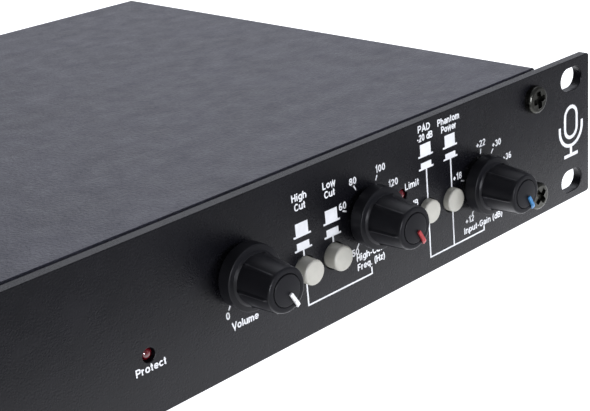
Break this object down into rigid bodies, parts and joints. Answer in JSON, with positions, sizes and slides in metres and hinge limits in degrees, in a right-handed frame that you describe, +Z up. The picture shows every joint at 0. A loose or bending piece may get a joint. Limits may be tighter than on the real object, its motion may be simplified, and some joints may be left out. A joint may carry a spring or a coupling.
{
  "type": "microphone preamp",
  "caption": "One-unit rack microphone preamp with rotary knobs, push buttons, indicator lamps and a plain textured steel case.",
  "frame": {"origin": "centre of the front panel's front face, in the middle of the rack slot pattern", "axes": "+X right as seen from the front, +Y back into the case, +Z up"},
  "size_m": [0.4826, 0.2272, 0.0436],
  "materials": {
    "panel_black": "satin black powder coat",
    "cover_grey": "fine textured dark grey coat",
    "screw_black": "black zinc",
    "zinc_steel": "zinc plated",
    "shaft_steel": "turned",
    "board_green": "solder mask",
    "winding_copper": "enamelled winding",
    "pad_rubber": "matte",
    "sleeve_blue": "shrink sleeve",
    "fin_aluminium": "black anodised",
    "epoxy_black": "moulded epoxy",
    "relay_blue": "moulded",
    "ribbon_grey": "flat cable",
    "pot_metal": "stamped",
    "knob_black": "satin moulded",
    "pointer_white": "moulded cap with white pointer",
    "pointer_red": "moulded cap with red pointer",
    "pointer_blue": "moulded cap with blue pointer",
    "switch_grey": "moulded",
    "plunger_ivory": "moulded",
    "button_grey": "warm grey moulded",
    "lamp_red": "tinted lens, unlit",
    "lamp_green": "tinted lens, unlit",
    "switch_black": "moulded",
    "connector_black": "die-cast, black",
    "contact_gold": "plated contacts",
    "jack_nickel": "nickel plated",
    "outlet_blue": "moulded",
    "inlet_black": "moulded",
    "blade_nickel": "nickel plated",
    "fuse_glass": "glass tube with metal ends"
  },
  "bodies": {
    "case": {"front_panel": "panel_black", "chassis_base": "cover_grey", "rear_panel": "panel_black", "top_cover": "cover_grey", "panel_screws": "screw_black", "clinch_nuts": "zinc_steel", "cover_screws": "screw_black", "rear_screws": "screw_black", "main_board": "board_green", "control_board": "board_green", "board_standoffs": "zinc_steel", "board_screws": "zinc_steel", "mains_transformer": "winding_copper", "transformer_pads": "pad_rubber", "transformer_clamp": "zinc_steel", "filter_capacitors": "sleeve_blue", "heat_sink": "fin_aluminium", "output_transistors": "epoxy_black", "bridge_rectifier": "epoxy_black", "protect_relay": "relay_blue", "audio_chips": "epoxy_black", "ribbon_cable": "ribbon_grey", "pot_volume": "pot_metal", "pot_high_cut": "pot_metal", "pot_gain": "pot_metal", "pot_nuts": "zinc_steel", "switch_bodies": "switch_grey", "protect_led": "lamp_red", "limit_led": "lamp_red", "power_led": "lamp_green", "rocker_housing": "switch_black", "mic_input_shell": "connector_black", "mic_input_core": "connector_black", "line_output_shell": "connector_black", "line_output_pins": "contact_gold", "jack_output": "jack_nickel", "speaker_outlet": "outlet_blue", "mains_inlet": "inlet_black", "inlet_blades": "blade_nickel"},
    "volume_knob": {"knob_volume": "knob_black", "pointer_volume": "pointer_white", "shaft_volume": "shaft_steel"},
    "high_cut_knob": {"knob_high_cut": "knob_black", "pointer_high_cut": "pointer_red", "shaft_high_cut": "shaft_steel"},
    "gain_knob": {"knob_gain": "knob_black", "pointer_gain": "pointer_blue", "shaft_gain": "shaft_steel"},
    "high_cut_push": {"button_high_cut": "button_grey", "plunger_high_cut": "plunger_ivory"},
    "low_cut_push": {"button_low_cut": "button_grey", "plunger_low_cut": "plunger_ivory"},
    "pad_push": {"button_pad": "button_grey", "plunger_pad": "plunger_ivory"},
    "phantom_push": {"button_phantom": "button_grey", "plunger_phantom": "plunger_ivory"},
    "power_switch": {"power_rocker": "switch_black"},
    "input_latch": {"mic_input_latch": "zinc_steel"},
    "fuse_tray": {"fuse_drawer": "inlet_black", "mains_fuse": "fuse_glass"}
  },
  "joints": [
    {"name": "volume_turn", "type": "hinge", "parent": "case", "child": "volume_knob", "pos_m": [0.1027, 0, 0.00315], "axis": [0, 1, 0], "range_deg": [-300, 0]},
    {"name": "high_cut_turn", "type": "hinge", "parent": "case", "child": "high_cut_knob", "pos_m": [0.1454, 0, 0.00315], "axis": [0, 1, 0], "range_deg": [-300, 0]},
    {"name": "gain_turn", "type": "hinge", "parent": "case", "child": "gain_knob", "pos_m": [0.1892, 0, -0.0024], "axis": [0, 1, 0], "range_deg": [-300, 0]},
    {"name": "high_cut_press", "type": "slide", "parent": "case", "child": "high_cut_push", "axis": [0, 1, 0], "range_m": [0, 0.0023]},
    {"name": "low_cut_press", "type": "slide", "parent": "case", "child": "low_cut_push", "axis": [0, 1, 0], "range_m": [0, 0.0023]},
    {"name": "pad_press", "type": "slide", "parent": "case", "child": "pad_push", "axis": [0, 1, 0], "range_m": [-0.0018, 0.0005]},
    {"name": "phantom_press", "type": "slide", "parent": "case", "child": "phantom_push", "axis": [0, 1, 0], "range_m": [-0.0018, 0.0005]},
    {"name": "power_tilt", "type": "hinge", "parent": "case", "child": "power_switch", "pos_m": [-0.2, 0.0035, 0], "axis": [1, 0, 0], "range_deg": [-18, 0]},
    {"name": "latch_press", "type": "slide", "parent": "case", "child": "input_latch", "axis": [0, 0, -1], "range_m": [0, 0.0012], "stiffness_N_per_m": 500, "springref_m": -0.001},
    {"name": "fuse_tray_slide", "type": "slide", "parent": "case", "child": "fuse_tray", "axis": [0, 1, 0], "range_m": [0, 0.024]}
  ]
}
